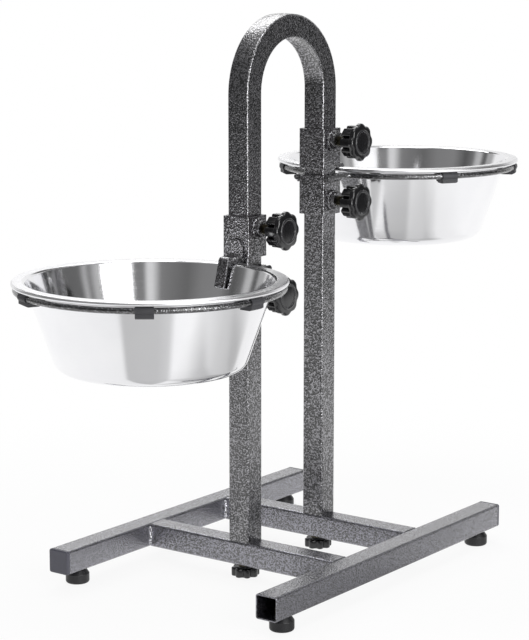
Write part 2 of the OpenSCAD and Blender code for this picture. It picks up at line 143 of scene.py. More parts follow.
def add_node(tree: NodeTree, kind: str, inputs: Optional[dict] = None, out: Union[int, str] = 0,
             **settings: Any) -> Optional[NodeSocket]:
    """Adds one node with its settings, and links or sets its inputs.

    Args:
        tree: The node tree to add to.
        kind: The node's type name, after "ShaderNode".
        inputs: Socket names or numbers, each with a socket to link or a value to set.
        out: Name or number of the wanted output.
        **settings: Properties of the node itself.

    Returns:
        That output, or None from a node without outputs.
    """
    node = tree.nodes.new(f"ShaderNode{kind}")
    for key, value in settings.items():
        setattr(node, key, value)
    for key, value in (inputs or {}).items():
        if isinstance(value, NodeSocket):
            tree.links.new(value, node.inputs[key])
        else:
            node.inputs[key].default_value = value
    return node.outputs[out] if node.outputs else None


def empty_nodes(owner: Union[bpy.types.Material, bpy.types.World]) -> Adder:
    """Empties the node tree of a material or a world.

    Args:
        owner: The material or world.

    Returns:
        The function that adds a node to that tree.
    """
    owner.use_nodes = True
    owner.node_tree.nodes.clear()
    return partial(add_node, owner.node_tree)


@dataclass(frozen=True)
class Finish:
    """A surface finish. Its material is made once, on Object coordinates in millimetres."""

    name: str

    def material(self) -> bpy.types.Material:
        """Makes the material, or finds it if it is there.

        Returns:
            The material of this finish.
        """
        known = bpy.data.materials.get(self.name)
        if known:
            return known
        material = bpy.data.materials.new(self.name)
        add = empty_nodes(material)
        coords = add("TexCoord", out="Object")
        place = add("Mapping", {"Vector": coords, "Scale": (1 / MM,) * 3})
        add("OutputMaterial", {"Surface": self.shade(add, place)})
        return material

    def shade(self, add: Adder, place: NodeSocket) -> NodeSocket:
        """Adds the nodes of this finish.

        Args:
            add: Adds a node to the material.
            place: The point on the piece, in millimetres.

        Returns:
            The shader.
        """
        raise NotImplementedError


@dataclass(frozen=True)
class HammeredEnamel(Finish):
    """Sprayed hammer-finish enamel on steel tube.

    The paint draws into shallow dimples under a hard gloss, and its aluminium flake gathers between
    them. The eye sees a dark skin whose reflections break up into fine, glinting specks. Dimples
    and flake are drawn as coarse as they need to be to show in the render.
    """

    ground: str = "#0c0c0f"
    flake: str = "#88878c"
    dimple_mm: float = 3.0
    fleck_mm: float = 1.7
    flake_from: float = 0.53
    flake_fade: float = 0.12
    bare_gloss: float = 0.5
    dimple_share: float = 0.1
    dent_mm: float = 0.4
    skin_mm: float = 0.5

    def shade(self, add: Adder, place: NodeSocket) -> NodeSocket:
        """Adds dimples, flake and the glossy skin, which is strongest over the flake.

        Args:
            add: Adds a node to the material.
            place: The point on the piece, in millimetres.

        Returns:
            The shader.
        """
        dimples = add("TexVoronoi", {
            "Vector": place, "Scale": 1 / self.dimple_mm, "Smoothness": 0.2}, feature="SMOOTH_F1")
        flecks = add("TexNoise", {
            "Vector": place, "Scale": 1 / self.fleck_mm, "Detail": 1.0, "Roughness": 0.5})
        height = add("Math", {0: dimples, 1: self.dimple_share, 2: flecks},
                     operation="MULTIPLY_ADD")
        amount = add("MapRange", {
            "Value": height, "From Min": self.flake_from,
            "From Max": self.flake_from + self.flake_fade}, interpolation_type="SMOOTHSTEP")
        tone = add("Mix", {0: amount, 6: colour(self.ground), 7: colour(self.flake)}, 2,
                   data_type="RGBA")
        gloss = add("MapRange", {"Value": amount, "To Min": self.bare_gloss, "To Max": 1.0})
        dent, skin = (
            add("Bump", {"Height": height, "Strength": 1.0, "Distance": depth * MM})
            for depth in (self.dent_mm, self.skin_mm))
        return add("BsdfPrincipled", {
            "Base Color": tone, "Metallic": amount, "Roughness": 0.25, "Normal": dent,
            "Coat Weight": gloss, "Coat Roughness": 0.05, "Coat IOR": 2.3, "Coat Normal": skin})


@dataclass(frozen=True)
class PolishedStainless(Finish):
    """Deep-drawn and polished stainless sheet.

    The walls are close to a mirror with the fine rings of the polishing mop in them, and the flat
    rim is left satin, so it stays an even pale grey. The rings are drawn wider than a mop leaves
    them, so that they show in the render.
    """

    middle: tuple[float, float] = (0.0, 0.0)
    satin_from_mm: float = 121.5
    satin_fade_mm: float = 1.5
    satin: float = 0.30
    ring_mm: float = 0.9
    ring_depth_mm: float = 0.05
    haze_mm: float = 38.0
    clean: str = "#fbfbfc"
    hazy: str = "#f1f1f4"

    def shade(self, add: Adder, place: NodeSocket) -> NodeSocket:
        """Adds polishing rings round the bowl's own middle, and the satin rim.

        Args:
            add: Adds a node to the material.
            place: The point on the piece, in millimetres.

        Returns:
            The shader.
        """
        centred = add("Mapping", {
            "Vector": place, "Location": (-self.middle[0], -self.middle[1], 0)})
        flat = add("VectorMath", {0: centred, 1: (1, 1, 0)}, operation="MULTIPLY")
        radius = add("VectorMath", {0: flat}, "Value", operation="LENGTH")
        height = add("SeparateXYZ", {0: place}, "Z")
        along = add("Math", {0: radius, 1: height}, operation="SUBTRACT")
        rings = add("TexNoise", {
            "W": along, "Scale": 1 / self.ring_mm, "Detail": 2.0}, noise_dimensions="1D")
        haze = add("TexNoise", {"Vector": place, "Scale": 1 / self.haze_mm, "Detail": 3.0})
        mirror = add("MapRange", {
            "Value": rings, "From Min": 0.3, "From Max": 0.7, "To Min": 0.05, "To Max": 0.10})
        hazed = add("Math", {0: haze, 1: 0.06, 2: mirror}, operation="MULTIPLY_ADD")
        rim = add("MapRange", {
            "Value": radius, "From Min": self.satin_from_mm,
            "From Max": self.satin_from_mm + self.satin_fade_mm}, interpolation_type="SMOOTHSTEP")
        rough = add("Mix", {0: rim, 2: hazed, 3: self.satin})
        tone = add("Mix", {0: haze, 6: colour(self.clean), 7: colour(self.hazy)}, 2,
                   data_type="RGBA")
        scratch = add("Bump", {
            "Height": rings, "Strength": 0.06, "Distance": self.ring_depth_mm * MM})
        return add("BsdfPrincipled", {
            "Base Color": tone, "Metallic": 1.0, "Roughness": rough, "Normal": scratch})


@dataclass(frozen=True)
class PlatedZinc(Finish):
    """Zinc-plated steel, passivated pale yellow: a soft metal gleam with cloudy tints."""

    pale: str = "#6f6b60"
    tinted: str = "#45402f"
    cloud_mm: float = 2.5

    def shade(self, add: Adder, place: NodeSocket) -> NodeSocket:
        """Adds the clouds of the passivation.

        Args:
            add: Adds a node to the material.
            place: The point on the piece, in millimetres.

        Returns:
            The shader.
        """
        clouds = add("TexNoise", {"Vector": place, "Scale": 1 / self.cloud_mm, "Detail": 3.0})
        tone = add("Mix", {0: clouds, 6: colour(self.pale), 7: colour(self.tinted)}, 2,
                   data_type="RGBA")
        rough = add("MapRange", {"Value": clouds, "To Min": 0.2, "To Max": 0.45})
        return add("BsdfPrincipled", {"Base Color": tone, "Metallic": 1.0, "Roughness": rough})


@dataclass(frozen=True)
class MouldedPlastic(Finish):
    """Injection-moulded plastic with the fine grain of its mould and slightly uneven colour.

    The grain takes the hardness off the highlights. It is drawn coarser than a mould leaves it, so
    that it shows in the render.
    """

    body: str = "#151517"
    bloom: str = "#26262a"
    gloss: float = 0.25
    grain_mm: float = 0.5
    grain_depth: float = 0.12
    polish: float = 0.0
    bloom_mm: float = 9.0

    def shade(self, add: Adder, place: NodeSocket) -> NodeSocket:
        """Adds mould grain, and the bloom that handling leaves.

        Args:
            add: Adds a node to the material.
            place: The point on the piece, in millimetres.

        Returns:
            The shader.
        """
        grain = add("TexNoise", {"Vector": place, "Scale": 1 / self.grain_mm, "Detail": 2.0})
        bloom = add("TexNoise", {
            "Vector": place, "Scale": 1 / self.bloom_mm, "Detail": 4.0, "Roughness": 0.6})
        tone = add("Mix", {0: bloom, 6: colour(self.body), 7: colour(self.bloom)}, 2,
                   data_type="RGBA")
        rough = add("MapRange", {
            "Value": bloom, "From Min": 0.3, "From Max": 0.7,
            "To Min": self.gloss * 0.85, "To Max": self.gloss * 1.25})
        skin = add("Bump", {"Height": grain, "Strength": self.grain_depth, "Distance": 0.1 * MM})
        return add("BsdfPrincipled", {
            "Base Color": tone, "Roughness": rough, "Normal": skin, "Coat Weight": self.polish,
            "Coat Roughness": 0.08})


GREY_ENAMEL = HammeredEnamel("hammered_enamel_grey", "#101014", "#84838f", fleck_mm=1.2,
                             flake_from=0.48, bare_gloss=0.7)
DARK_ENAMEL = HammeredEnamel("hammered_enamel_dark")
WIRE_ENAMEL = HammeredEnamel("hammered_enamel_on_wire", flake_from=0.6)
# The same hammer paint as the rest, with a lighter ground and more, brighter flake: a painted
# highlight on the weld beads for the light their lumps catch
LIT_WELD_ENAMEL = HammeredEnamel("hammered_enamel_on_weld_painted_glints", "#2a2a2d", "#c0c0c8", flake_from=0.46)
YELLOW_ZINC = PlatedZinc("yellow_zinc_plate")
KNOB_PLASTIC = MouldedPlastic("moulded_abs_black", "#08080a", "#101013", 0.14, 0.5, 0.03, 0.35)
CAP_PLASTIC = MouldedPlastic("moulded_abs_cap", "#1a1a1c", "#242427", 0.22, 0.4, 0.06, 0.5)
FOOT_PLASTIC = MouldedPlastic("moulded_polyethylene_black", "#111113", "#1f1f22", 0.42, 0.7, 0.25)
PLUG_PLASTIC = MouldedPlastic("moulded_polyethylene_grey", "#45454e", "#54545f", 0.35, 0.7, 0.2)
CLIP_PLASTIC = MouldedPlastic("moulded_polypropylene_grey", "#2f2f32", "#3e3e42", 0.5, 0.6, 0.25)
NATURAL_NYLON = MouldedPlastic("turned_nylon_natural", "#e2dfd6", "#efede6", 0.4, 0.8, 0.15)


class Shape:
    """A mesh in the making, in millimetres, shaped by bmesh operators."""

    def __init__(self) -> None:
        """Starts an empty mesh."""
        self.bm = bmesh.new()

    def wire(self, points: Sequence[tuple[float, float]], radii: Optional[dict[int, float]] = None,
             segments: int = 8) -> list[BMVert]:
        """Draws a line in the XZ plane, with some of its corners rounded.

        Args:
            points: Places as distance from the axis and height.
            radii: The radius of each rounded corner, by its number in points.
            segments: Steps in each rounded corner.

        Returns:
            The two end vertices.
        """
        verts = [self.bm.verts.new((x, 0, z)) for x, z in points]
        for a, b in zip(verts, verts[1:]):
            self.bm.edges.new((a, b))
        for i, radius in (radii or {}).items():
            before = Vector(points[i - 1]) - Vector(points[i])
            after = Vector(points[i + 1]) - Vector(points[i])
            self.round_corners([verts[i]], radius / math.tan(before.angle(after) / 2), segments)
        return [verts[0], verts[-1]]

    def round_corners(self, verts: Iterable[BMVert], offset: float, segments: int) -> None:
        """Bevels vertices.

        Args:
            verts: The corners.
            offset: How far the rounding reaches from each.
            segments: Steps across it.
        """
        bmesh.ops.bevel(self.bm, geom=list(verts), offset=offset, offset_type="OFFSET",
                        segments=segments, profile=0.5, affect="VERTICES", material=-1)

    def soften(self, edges: Iterable[BMEdge], radius: float, segments: int = 3) -> None:
        """Rounds edges.

        Args:
            edges: The edges to round.
            radius: Width of the rounding.
            segments: Steps across it.
        """
        bmesh.ops.bevel(self.bm, geom=list(edges), offset=radius, offset_type="OFFSET",
                        segments=segments, profile=0.5, affect="EDGES", material=-1,
                        clamp_overlap=True)

    def lathe(self, steps: int) -> "Shape":
        """Spins everything a full turn about Z and closes it.

        Args:
            steps: Steps in the turn.

        Returns:
            This shape.
        """
        bmesh.ops.spin(self.bm, geom=self.bm.verts[:] + self.bm.edges[:], cent=(0, 0, 0),
                       axis=(0, 0, 1), angle=FULL_TURN, steps=steps, use_merge=True,
                       space=Matrix(), dvec=(0, 0, 0))
        return self.closed()

    def closed(self) -> "Shape":
        """Merges doubles and turns the faces outwards."""
        bmesh.ops.remove_doubles(self.bm, verts=self.bm.verts[:], dist=MERGE_MM)
        bmesh.ops.recalc_face_normals(self.bm, faces=self.bm.faces[:])
        return self

    def move(self, *by: float) -> None:
        """Moves the whole shape."""
        bmesh.ops.translate(self.bm, verts=self.bm.verts[:], vec=by)

    def square(self, width: float, corner: float, segments: int = 6) -> BMFace:
        """Adds a square face with rounded corners at the origin.

        Args:
            width: Side of the square.
            corner: Radius of its corners.
            segments: Steps in each corner.

        Returns:
            The new face.
        """
        known = set(self.bm.verts)
        bmesh.ops.create_grid(self.bm, x_segments=1, y_segments=1, size=width / 2)
        self.round_corners([v for v in self.bm.verts if v not in known], corner, segments)
        return next(f for f in self.bm.faces if not any(v in known for v in f.verts))

    def raise_face(self, face: BMFace, move: Sequence[float]) -> BMFace:
        """Extrudes a face and moves it, with no partition left inside a solid.

        Args:
            face: The face to extrude.
            move: How far the new face goes.

        Returns:
            The face at the far end.
        """
        on_solid = any(len(e.link_faces) > 1 for e in face.edges)
        geom = bmesh.ops.extrude_face_region(self.bm, geom=[face])["geom"]
        bmesh.ops.translate(self.bm, verts=[g for g in geom if isinstance(g, BMVert)], vec=move)
        if on_solid:
            bmesh.ops.delete(self.bm, geom=[face], context="FACES_ONLY")
        return next(g for g in geom if isinstance(g, BMFace))

    def edges_at(self, z: float) -> list[BMEdge]:
        """The edges that lie at one height."""
        return [e for e in self.bm.edges if all(abs(v.co.z - z) < MERGE_MM for v in e.verts)]

    def face_at(self, axis: int, place: float) -> BMFace:
        """The first face that lies square to an axis at one place on it."""
        return next(f for f in self.bm.faces
                    if all(abs(v.co[axis] - place) < MERGE_MM for v in f.verts))

    def drill(self, radius: float, *mouths: tuple[BMFace, Matrix]) -> None:
        """Opens a round hole from one flat face to another.

        Args:
            radius: Radius of the hole.
            *mouths: The two faces, each with the turn and move of a circle on Z to the hole there.
        """
        rims = []
        for face, place in mouths:
            outline = face.edges[:]
            bmesh.ops.delete(self.bm, geom=[face], context="FACES_ONLY")
            ring = bmesh.ops.create_circle(self.bm, cap_ends=False, segments=36, radius=radius,
                                           matrix=place)["verts"]
            rim = [e for e in self.bm.edges if all(v in ring for v in e.verts)]
            bmesh.ops.triangle_fill(self.bm, use_beauty=True, edges=outline + rim)
            rims += rim
        bmesh.ops.bridge_loops(self.bm, edges=rims)
        self.closed()

    def join(self, other: "Shape", place: Matrix) -> "Shape":
        """Adds a copy of another shape, put in its place.

        Args:
            other: The shape to copy.
            place: Its turn and move.

        Returns:
            This shape.
        """
        mesh = bpy.data.meshes.new("joining")
        other.bm.to_mesh(mesh)
        mesh.transform(place)
        self.bm.from_mesh(mesh)
        bpy.data.meshes.remove(mesh)
        return self

    def piece(self, name: str, body: str, finish: Finish, slot: str, *nodes: str,
              place: Optional[Matrix] = None) -> bpy.types.Object:
        """Turns the shape into a finished piece of the stand.

        Args:
            name: Name of the piece.
            body: The CAD body that it rides on.
            finish: Its surface finish.
            slot: The record's material slot that the finish stands for; not used.
            *nodes: The CAD nodes that it replaces.
            place: Turn and move from the drawing to the stand, in millimetres.

        Returns:
            The new object.
        """
        mesh = bpy.data.meshes.new(name)
        self.bm.to_mesh(mesh)
        self.bm.free()
        mesh.transform(Matrix.Scale(MM, 4) @ (place or Matrix()))
        mesh.polygons.foreach_set("use_smooth", [True] * len(mesh.polygons))
        mesh.set_sharp_from_angle(angle=SHARP_ANGLE)
        mesh.materials.append(finish.material())
        made = bpy.data.objects.new(name, mesh)
        bpy.context.scene.collection.objects.link(made)
        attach(made, body)
        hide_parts(*nodes)
        LOG.info("%s on %s: %d faces", name, body, len(mesh.polygons))
        return made


def even_shading(piece: bpy.types.Object) -> None:
    """Keeps large flat faces flat beside their rounded edges."""
    piece.modifiers.new("even_shading", "WEIGHTED_NORMAL").keep_sharp = True


def thicken(piece: bpy.types.Object, wall: float) -> None:
    """Gives a sheet its thickness, half to each side.

    Args:
        piece: The sheet.
        wall: Its thickness, in millimetres.
    """
    thick = piece.modifiers.new("thickness", "SOLIDIFY")
    thick.thickness, thick.offset = wall * MM, 0


def dress(node: str, finish: Finish) -> None:
    """Gives a CAD node a finish in place of its plain one.

    Args:
        node: Name of the node.
        finish: Its surface finish.
    """
    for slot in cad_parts[node].material_slots:
        slot.material = finish.material()
    LOG.info("%s dressed in %s", node, finish.name)


def rod_shape(radius: float, length: float, edge: float = 0.4, steps: int = 40) -> Shape:
    """A round bar on Z from zero up, with softened ends.

    Args:
        radius: Radius of the bar.
        length: Its length.
        edge: Radius of its end edges.
        steps: Steps round it.

    Returns:
        The closed shape.
    """
    shape = Shape()
    shape.wire([(0, 0), (radius, 0), (radius, length), (0, length)], {1: edge, 2: edge}, 3)
    return shape.lathe(steps)


@dataclass
class Stud:
    """A round screw on Z from zero up, with a helical thread on part of it."""

    major: float
    pitch: float
    length: float
    low: float
    high: float
    steps: int = 24
    depth: float = 0.6
    root: float = 0.47
    crest: float = 0.09
    sunk: float = 0.2
    shank_gap: float = 0.02

    def shape(self) -> Shape:
        """Draws the screw.

        Returns:
            A core with the thread wound on it, and plain shanks below and above.
        """
        core = self.major / 2 - self.depth * self.pitch
        turns = max(1, int((self.high - self.low) / self.pitch) - 1)
        ridge = Shape()
        section = [(core - self.sunk, -self.root), (self.major / 2, -self.crest),
                   (self.major / 2, self.crest), (core - self.sunk, self.root)]
        verts = [ridge.bm.verts.new((x, 0, self.low + self.pitch * (0.5 + z))) for x, z in section]
        face = ridge.bm.faces.new(verts)
        bmesh.ops.spin(ridge.bm, geom=[face, *face.edges, *face.verts], cent=(0, 0, 0),
                       axis=(0, 0, 1), angle=FULL_TURN * turns, steps=self.steps * turns,
                       space=Matrix(), dvec=(0, 0, self.pitch / self.steps))
        bmesh.ops.recalc_face_normals(ridge.bm, faces=ridge.bm.faces[:])
        shank = self.major / 2 - self.shank_gap
        stud = rod_shape(core, self.length)
        stud.join(rod_shape(shank, self.low), Matrix())
        stud.join(rod_shape(shank, self.length - self.high), at(0, 0, self.high))
        return stud.join(ridge, Matrix())


def bead_shape(length: float, radius: float, ripple: float) -> Shape:
    """A weld bead on Z, centred on the origin, with the ripples of its run.

    Args:
        length: Length of the bead.
        radius: Radius of its section.
        ripple: Distance from one ripple to the next.

    Returns:
        The closed shape.
    """
    shape = Shape()
    rows = max(8, round(4 * length / ripple))
    bmesh.ops.create_circle(shape.bm, cap_ends=True, segments=14, radius=radius)
    face = shape.bm.faces[:][0]
    for _ in range(rows):
        face = shape.raise_face(face, (0, 0, length / rows))
    for v in shape.bm.verts:
        end = min(v.co.z, length - v.co.z) / radius
        # Ripples along the run, and a second wave that keeps them from looking even
        lump = 0.1 * math.sin(FULL_TURN * v.co.z / ripple) + 0.06 * math.sin(1.7 * v.co.z + v.co.x)
        taper = math.sqrt(max(0.05, 1 - (1 - min(end, 1)) ** 2))
        v.co.xy *= (1 + lump) * taper
        v.co.z -= length / 2
    return shape.closed()


def sleeve_shape(width: float, wall: float, corner: float, height: float, edge: float) -> Shape:
    """A square sleeve on Z from zero up, with softened ends.

    Args:
        width: Outside width.
        wall: Wall thickness.
        corner: Outside corner radius.
        height: Height of the sleeve.
        edge: Rounding of the end edges.

    Returns:
        The closed shape.
    """
    shape = Shape()
    faces = [shape.square(width, corner)]
    faces.append(shape.square(width - 2 * wall, max(corner - wall, 0.5)))
    edges = [e for f in faces for e in f.edges]
    bmesh.ops.delete(shape.bm, geom=faces, context="FACES_ONLY")
    ring = bmesh.ops.bridge_loops(shape.bm, edges=edges)["faces"]
    geom = bmesh.ops.extrude_face_region(shape.bm, geom=ring)["geom"]
    bmesh.ops.translate(shape.bm, verts=[g for g in geom if isinstance(g, BMVert)],
                        vec=(0, 0, height))
    shape.closed()
    rims = [e for z in (0, height) for e in shape.edges_at(z)
            if len({round(f.normal.z) for f in e.link_faces}) > 1]
    shape.soften(rims, edge)
    return shape


@dataclass
class BaseFrame:
    """The welded base: two legs, two crossbars, their weld beads and the end plugs."""

    tube: float = 25
    wall: float = 1.5
    corner: float = 2.5
    cut_edge: float = 0.35
    weld_radius: float = 2.7
    weld_sunk: float = 0.9
    weld_ripple: float = 2.6
    plug_edge: float = 1.7
    plug_neck: float = 9
    plug_fit: float = 21.9
    body: str = "base"

    def build(self) -> None:
        """Builds the tubes, beads and plugs, and dresses the weld nuts."""
        for side in Side:
            self.build_tube(f"{side.value}_leg", Matrix.Rotation(-math.pi / 2, 4, "X"))
        for end in End:
            self.build_tube(f"{end.value}_crossbar", Z_TO_X)
        dress("leg_nuts", YELLOW_ZINC)
        self.build_welds()
        self.build_plugs()

    def build_tube(self, node: str, turn: Matrix) -> None:
        """Builds one square tube with round corners and its burrs taken off.

        Args:
            node: The CAD node that it replaces.
            turn: Lays the upright drawing down along the tube.
        """
        box = Extent.of(node)
        length = max(box.size)
        shape = sleeve_shape(self.tube, self.wall, self.corner, length, self.cut_edge)
        even_shading(shape.piece(f"{node}_tube", self.body, GREY_ENAMEL, "hammer_paint", node,
                                 place=at(*box.middle) @ turn @ at(0, 0, -length / 2)))

    def build_welds(self) -> None:
        """Lays a rippled bead in each corner between a leg and a crossbar."""
        shape = Shape()
        bead = bead_shape(self.tube - 2 * self.corner, self.weld_radius, self.weld_ripple)
        for end in End:
            bar = Extent.of(f"{end.value}_crossbar")
            for x, inward in ((bar.low.x, 1), (bar.high.x, -1)):
                for y, outward in ((bar.low.y, -1), (bar.high.y, 1)):
                    shape.join(bead, at(x + inward * self.weld_sunk, y + outward * self.weld_sunk,
                                        bar.middle.z))
        bead.bm.free()
        # The beads wear the lighter copy of the enamel, a painted highlight for the light their
        # ripples catch
        shape.piece("weld_runs", self.body, LIT_WELD_ENAMEL, "hammer_paint", "weld_beads")

    def build_plugs(self) -> None:
        """Closes three ends of the legs with rounded plugs."""
        ends = Extent.of("end_plugs")
        shape = Shape()
        for side, end in ((Side.LEFT, End.FRONT), (Side.LEFT, End.REAR), (Side.RIGHT, End.REAR)):
            leg = Extent.of(f"{side.value}_leg")
            tube_end = leg.low.y if end is End.FRONT else leg.high.y
            head = abs((ends.low.y if end is End.FRONT else ends.high.y) - tube_end)
            plug, neck = Shape(), Shape()
            plug.raise_face(plug.square(self.tube, self.corner), (0, 0, head))
            plug.soften(plug.edges_at(head), self.plug_edge, 4)
            neck.raise_face(neck.square(self.plug_fit, self.corner), (0, 0, self.plug_neck))
            plug.closed().join(neck.closed(), at(0, 0, -self.plug_neck))
            turn = Matrix.Rotation(-end.way * math.pi / 2, 4, "X")
            shape.join(plug, at(leg.middle.x, tube_end, leg.middle.z) @ turn)
        even_shading(shape.piece("leg_plugs", self.body, PLUG_PLASTIC, "black_plastic",
                                 "end_plugs"))


@dataclass
class ScrewFoot:
    """One levelling foot: a moulded pad on a threaded stud."""

    end: End
    side: Side
    pitch: float = 1.25
    plain_share: float = 0.4
    tip: float = 0.6

    def build(self) -> None:
        """Builds the stud and dresses the pad."""
        name = f"{self.end.value}_{self.side.value}_foot"
        stud = Extent.of(f"{name}_stud")
        length = stud.size.z
        shape = Stud(stud.size.x, self.pitch, length, self.plain_share * length,
                     length - self.tip).shape()
        shape.piece(f"{name}_screw", f"{name}_stud", YELLOW_ZINC, "zinc_plate", f"{name}_stud",
                    place=at(*stud.foot))
        dress(f"{name}_pad", FOOT_PLASTIC)


@dataclass
class Hoop:
    """The bent tube: two posts and the bend that joins them."""

    tube: float = 25
    corner: float = 2.5
    crush: float = 4.6
    crown: float = 1.0
    edge_share: float = 0.3
    wall_cuts: int = 9
    bend_steps: int = 72
    body: str = "base"

    def build(self) -> None:
        """Builds the tube in one run from post to post, then crushes the inside of its bend."""
        box = Extent.of("hoop")
        post_y = (box.size.y - self.tube) / 2
        bend_z = box.high.z - post_y - self.tube / 2
        rise = bend_z - box.low.z
        shape = Shape()
        face = shape.square(self.tube, self.corner)
        walls = [e for e in face.edges
                 if all(abs(v.co.y) > self.tube / 2 - MERGE_MM for v in e.verts)]
        bmesh.ops.bisect_edges(shape.bm, edges=walls, cuts=self.wall_cuts)
        shape.move(0, -post_y, box.low.z)
        face = shape.raise_face(shape.bm.faces[:][0], (0, 0, rise))
        spun = bmesh.ops.spin(shape.bm, geom=[face, *face.edges, *face.verts],
                              cent=(0, 0, bend_z), axis=(-1, 0, 0), angle=math.pi,
                              steps=self.bend_steps, space=Matrix(), dvec=(0, 0, 0))
        last = next(g for g in spun["geom_last"] if isinstance(g, BMFace))
        shape.raise_face(last, (0, 0, -rise))
        shape.closed()
        self.crush_bend(shape, post_y, bend_z)
        even_shading(shape.piece("hoop_tube", self.body, DARK_ENAMEL, "dark_hammer_paint", "hoop"))
        dress("post_inserts", YELLOW_ZINC)

    def crush_bend(self, shape: Shape, post_y: float, bend_z: float) -> None:
        """Draws the inner face of the bend in, and leaves the outer one a little crowned.

        Args:
            shape: The tube.
            post_y: Distance of the posts from the middle of the stand.
            bend_z: Height of the bend's centre.
        """
        half = self.tube / 2
        for v in shape.bm.verts:
            height = v.co.z - bend_z
            if height <= MERGE_MM:
                continue
            reach = math.hypot(v.co.y, height)
            inside = min(1, max(0, (post_y - reach) / half))
            outside = min(1, max(0, (reach - post_y) / half))
            arch = 1 - (v.co.x / half) ** 2
            across = self.edge_share + (1 - self.edge_share) * arch
            push = self.crush * across * inside ** 3 + self.crown * arch * outside ** 3
            grow = 1 + push * height / reach ** 2
            v.co.y, v.co.z = v.co.y * grow, bend_z + height * grow


@dataclass
class StarKnob:
    """A moulded knob with rounded lobes, drawn on Z with its back at zero."""

    radius: float
    length: float
    disc: float
    hub_radius: float
    hub_length: float
    face_edge: float
    lobe_depth: float
    fingers: bool
    lobes: int = 8
    lobe_steps: int = 16
    lobe_power: float = 1.6
    back_edge: float = 0.7
    hub_draft: float = 0.4
    hub_edge: float = 0.8
    sunk: float = 1
    finger_size: tuple[float, float] = (7.2, 9.8)
    finger_edge: float = 2.0
    finger_tip: float = 0.9
    finger_draft: float = 0.96
    finger_inset: float = 2.6

    def shape(self) -> Shape:
        """Draws the knob.

        Returns:
            The lobed disc with its hub, and its fingers if it is hollow behind.
        """
        knob = Shape()
        bmesh.ops.create_circle(knob.bm, cap_ends=True, segments=self.lobes * self.lobe_steps,
                                radius=self.radius)
        for v in knob.bm.verts:
            angle = math.atan2(v.co.y, v.co.x)
            hollow = (0.5 - 0.5 * math.cos(self.lobes * angle)) ** self.lobe_power
            v.co.xy *= 1 - self.lobe_depth / self.radius * hollow
            v.co.z = self.length - self.disc
        knob.raise_face(knob.bm.faces[:][0], (0, 0, self.disc))
        knob.soften(knob.edges_at(self.length), self.face_edge, 5)
        knob.soften(knob.edges_at(self.length - self.disc), self.back_edge, 2)
        knob.closed()
        hub = Shape()
        top = self.length - self.disc + self.sunk
        hub.wire([(0, -self.hub_length), (self.hub_radius - self.hub_draft, -self.hub_length),
                  (self.hub_radius, top), (0, top)], {1: self.hub_edge}, 3)
        knob.join(hub.lathe(48), Matrix())
        if self.fingers:
            knob.join(self.finger_ring(), Matrix())
        return knob

    def finger_ring(self) -> Shape:
        """Draws the fingers that run back from the lobes.

        Returns:
            One closed bar for each lobe.
        """
        radial, tangential = self.finger_size
        depth = self.length - self.disc + self.sunk
        bars = Shape()
        bmesh.ops.create_cube(bars.bm, size=1)
        bmesh.ops.scale(bars.bm, verts=bars.bm.verts[:], vec=(radial, tangential, depth))
        bars.move(0, 0, depth / 2)
        upright = [e for e in bars.bm.edges if abs(e.verts[0].co.z - e.verts[1].co.z) > MERGE_MM]
        bars.soften(upright, self.finger_edge, 5)
        bars.soften(bars.edges_at(0), self.finger_tip)
        for v in bars.bm.verts:
            v.co.xy *= self.finger_draft + (1 - self.finger_draft) * v.co.z / depth
        bars.move(self.radius - self.finger_inset - radial / 2, 0, 0)
        bmesh.ops.spin(bars.bm, geom=bars.bm.verts[:] + bars.bm.edges[:] + bars.bm.faces[:],
                       cent=(0, 0, 0), axis=(0, 0, 1),
                       angle=FULL_TURN * (self.lobes - 1) / self.lobes, steps=self.lobes - 1,
                       use_duplicate=True, space=Matrix(), dvec=(0, 0, 0))
        bmesh.ops.recalc_face_normals(bars.bm, faces=bars.bm.faces[:])
        return bars


@dataclass
class BaseScrew:
    """One screw that pulls a post down onto its crossbar, with its washer and knob."""

    end: End
    pitch: float = 1.25
    plain_share: float = 0.3
    tip: float = 0.8
    hub_radius: float = 8.5
    hub_length: float = 2.5
    face_edge: float = 2.4
    lobe_depth: float = 2.7
    washer_play: float = 0.4
    washer_edge: float = 0.3

    def build(self) -> None:
        """Builds the knob, the screw and the washer."""
        name = f"{self.end.value}_base"
        box = Extent.of(f"{name}_knob")
        screw = Extent.of(f"{name}_screw")
        washer = Extent.of(f"{name}_washer")
        height = box.size.z - self.hub_length
        knob = StarKnob(box.size.x / 2, height, height, self.hub_radius, self.hub_length,
                        self.face_edge, self.lobe_depth, fingers=False).shape()
        middle = box.middle
        turn = Matrix.Rotation(math.pi, 4, "X")
        knob.piece(f"{name}_star", f"{name}_knob", KNOB_PLASTIC, "black_plastic", f"{name}_knob",
                   place=at(middle.x, middle.y, box.high.z - self.hub_length) @ turn)
        length = screw.size.z
        bolt = Stud(screw.size.x, self.pitch, length, self.plain_share * length,
                    length - self.tip).shape()
        bolt.piece(f"{name}_bolt", f"{name}_knob", YELLOW_ZINC, "zinc_plate", f"{name}_screw",
                   place=at(middle.x, middle.y, screw.low.z))
        ring = Shape()
        inner = screw.size.x / 2 + self.washer_play
        outer, thick = washer.size.x / 2, washer.size.z
        ring.wire([(inner, 0), (outer, 0), (outer, thick), (inner, thick), (inner, 0)],
                  {1: self.washer_edge, 2: self.washer_edge}, 2)
        ring.lathe(64)
        ring.piece(f"{name}_disc", f"{name}_washer", YELLOW_ZINC, "zinc_plate", f"{name}_washer",
                   place=at(middle.x, middle.y, washer.low.z))


